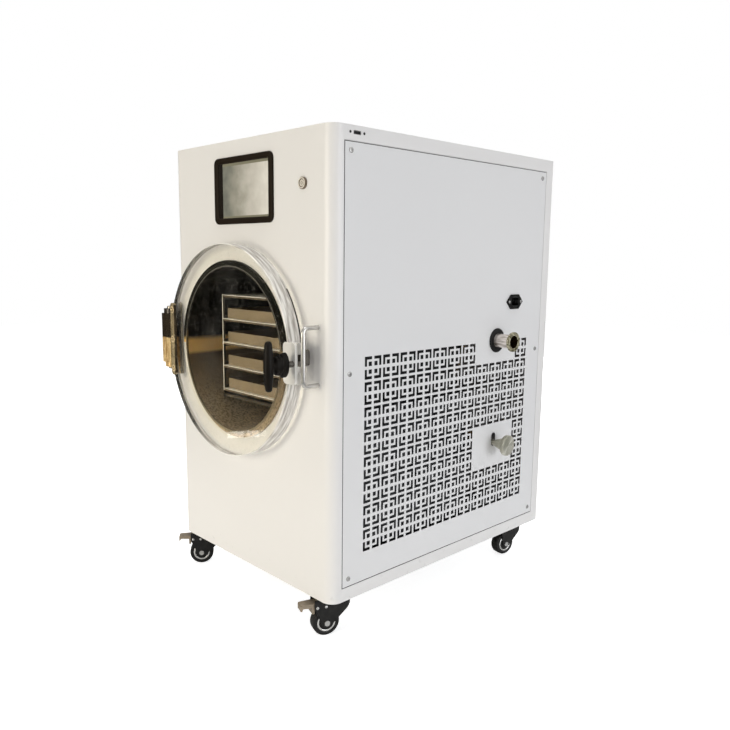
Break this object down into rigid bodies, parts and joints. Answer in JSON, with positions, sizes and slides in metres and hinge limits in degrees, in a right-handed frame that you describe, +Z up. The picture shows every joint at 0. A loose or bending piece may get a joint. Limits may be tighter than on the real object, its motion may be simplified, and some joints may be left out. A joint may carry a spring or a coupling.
{
  "type": "freeze dryer",
  "caption": "Floor-standing laboratory freeze dryer on casters, with a round clear swing door, latched chamber with shelves and trays, touch screen and vented side.",
  "frame": {"origin": "on the floor, under the middle of the cabinet's width, in the plane of the cabinet's front face", "axes": "+Z up, +Y from the front face towards the rear, +X towards the vented side with the vacuum port"},
  "size_m": [0.5379, 0.74, 0.874],
  "materials": {
    "front_paint": "satin",
    "side_paint": "satin",
    "zinc": "matte",
    "screw_steel": "satin",
    "bezel_plastic": "satin",
    "screen_glass": "gloss",
    "button_metal": "satin",
    "stainless": "polished",
    "seal_rubber": "matte",
    "foam": "matte",
    "clear_acrylic": "polished",
    "shelf_metal": "polished",
    "tray_metal": "satin",
    "hinge_steel": "polished",
    "rod_chrome": "polished",
    "handle_black": "gloss",
    "inlet_black": "matte",
    "flange_steel": "satin",
    "knob_metal": "satin",
    "brass_valve": "satin",
    "fin_aluminium": "matte",
    "black_enamel": "gloss",
    "nylon_black": "matte",
    "wheel_black": "matte",
    "pedal_beige": "matte"
  },
  "bodies": {
    "cabinet": {"cabinet_shell": "front_paint", "base_tray": "zinc", "rear_panel": "side_paint", "side_panel_right": "side_paint", "panel_screws": "screw_steel", "screen_bezel": "bezel_plastic", "touch_screen": "screen_glass", "button_bezel": "button_metal", "usb_port": "screw_steel", "vacuum_chamber": "stainless", "chamber_end": "stainless", "chamber_gasket": "seal_rubber", "chamber_jacket": "foam", "rack_frame": "shelf_metal", "hinge_bracket": "hinge_steel", "hinge_pin": "hinge_steel", "latch_catch": "rod_chrome", "power_inlet": "inlet_black", "inlet_screws": "screw_steel", "vacuum_port": "flange_steel", "port_grommet": "seal_rubber", "drain_valve": "brass_valve", "drain_line": "brass_valve", "fan_shroud": "zinc", "condenser_coil": "fin_aluminium", "compressor": "black_enamel", "control_box": "zinc", "caster_plates": "zinc", "shelf_1": "shelf_metal", "shelf_2": "shelf_metal", "shelf_3": "shelf_metal", "shelf_4": "shelf_metal", "shelf_5": "shelf_metal"},
    "door": {"door_disc": "clear_acrylic", "hinge_leaf": "hinge_steel", "hinge_bolts": "rod_chrome", "latch_block": "hinge_steel"},
    "latch": {"latch_shaft": "rod_chrome", "t_handle": "handle_black"},
    "power_button": {"button_cap": "button_metal"},
    "drain_handle": {"drain_knob": "knob_metal"},
    "fan": {"fan_rotor": "nylon_black"},
    "loose_tray_1": {"tray_1": "tray_metal"},
    "loose_tray_2": {"tray_2": "tray_metal"},
    "loose_tray_3": {"tray_3": "tray_metal"},
    "loose_tray_4": {"tray_4": "tray_metal"},
    "swivel_front_left": {"caster_fork_front_left": "nylon_black", "caster_axle_front_left": "screw_steel"},
    "wheel_front_left": {"caster_wheel_front_left": "wheel_black"},
    "brake_front_left": {"brake_pedal_front_left": "pedal_beige"},
    "swivel_front_right": {"caster_fork_front_right": "nylon_black", "caster_axle_front_right": "screw_steel"},
    "wheel_front_right": {"caster_wheel_front_right": "wheel_black"},
    "brake_front_right": {"brake_pedal_front_right": "pedal_beige"},
    "swivel_rear_left": {"caster_fork_rear_left": "nylon_black", "caster_axle_rear_left": "screw_steel"},
    "wheel_rear_left": {"caster_wheel_rear_left": "wheel_black"},
    "swivel_rear_right": {"caster_fork_rear_right": "nylon_black", "caster_axle_rear_right": "screw_steel"},
    "wheel_rear_right": {"caster_wheel_rear_right": "wheel_black"}
  },
  "joints": [
    {"name": "door_swing", "type": "hinge", "parent": "cabinet", "child": "door", "pos_m": [-0.227, -0.027, 0.4995], "axis": [0, 0, -1], "range_deg": [0, 110]},
    {"name": "latch_turn", "type": "hinge", "parent": "door", "child": "latch", "pos_m": [0.193, -0.06, 0.493], "axis": [0, 1, 0], "range_deg": [0, 90]},
    {"name": "power_button_press", "type": "slide", "parent": "cabinet", "child": "power_button", "axis": [0, 1, 0], "range_m": [0, 0.0025], "stiffness_N_per_m": 400, "springref_m": -0.001},
    {"name": "drain_turn", "type": "hinge", "parent": "cabinet", "child": "drain_handle", "pos_m": [0.26, 0.4484, 0.287], "axis": [1, 0, 0], "range_deg": [0, 90]},
    {"name": "fan_spin", "type": "hinge", "parent": "cabinet", "child": "fan", "pos_m": [0.176, 0.235, 0.254], "axis": [1, 0, 0], "continuous": true},
    {"name": "tray_1_slide", "type": "slide", "parent": "cabinet", "child": "loose_tray_1", "axis": [0, -1, 0], "range_m": [0, 0.055]},
    {"name": "tray_2_slide", "type": "slide", "parent": "cabinet", "child": "loose_tray_2", "axis": [0, -1, 0], "range_m": [0, 0.055]},
    {"name": "tray_3_slide", "type": "slide", "parent": "cabinet", "child": "loose_tray_3", "axis": [0, -1, 0], "range_m": [0, 0.055]},
    {"name": "tray_4_slide", "type": "slide", "parent": "cabinet", "child": "loose_tray_4", "axis": [0, -1, 0], "range_m": [0, 0.055]},
    {"name": "swivel_front_left_turn", "type": "hinge", "parent": "cabinet", "child": "swivel_front_left", "pos_m": [-0.206, 0.042, 0.068], "axis": [0, 0, 1], "continuous": true},
    {"name": "wheel_front_left_roll", "type": "hinge", "parent": "swivel_front_left", "child": "wheel_front_left", "pos_m": [-0.2171, 0.02597, 0.025], "axis": [0.8221, -0.5693, 0], "continuous": true},
    {"name": "brake_front_left_press", "type": "hinge", "parent": "swivel_front_left", "child": "brake_front_left", "pos_m": [-0.22706, 0.01158, 0.06], "axis": [0.8221, -0.5693, 0], "range_deg": [0, 18]},
    {"name": "swivel_front_right_turn", "type": "hinge", "parent": "cabinet", "child": "swivel_front_right", "pos_m": [0.206, 0.042, 0.068], "axis": [0, 0, 1], "continuous": true},
    {"name": "wheel_front_right_roll", "type": "hinge", "parent": "swivel_front_right", "child": "wheel_front_right", "pos_m": [0.19911, 0.02376, 0.025], "axis": [0.9354, -0.3535, 0], "continuous": true},
    {"name": "brake_front_right_press", "type": "hinge", "parent": "swivel_front_right", "child": "brake_front_right", "pos_m": [0.19292, 0.00739, 0.06], "axis": [0.9354, -0.3535, 0], "range_deg": [0, 18]},
    {"name": "swivel_rear_left_turn", "type": "hinge", "parent": "cabinet", "child": "swivel_rear_left", "pos_m": [-0.206, 0.575, 0.068], "axis": [0, 0, 1], "continuous": true},
    {"name": "wheel_rear_left_roll", "type": "hinge", "parent": "swivel_rear_left", "child": "wheel_rear_left", "pos_m": [-0.21267, 0.55668, 0.025], "axis": [0.9397, -0.342, 0], "continuous": true},
    {"name": "swivel_rear_right_turn", "type": "hinge", "parent": "cabinet", "child": "swivel_rear_right", "pos_m": [0.206, 0.575, 0.068], "axis": [0, 0, 1], "continuous": true},
    {"name": "wheel_rear_right_roll", "type": "hinge", "parent": "swivel_rear_right", "child": "wheel_rear_right", "pos_m": [0.20238, 0.55584, 0.025], "axis": [0.9826, -0.1857, 0], "continuous": true}
  ]
}
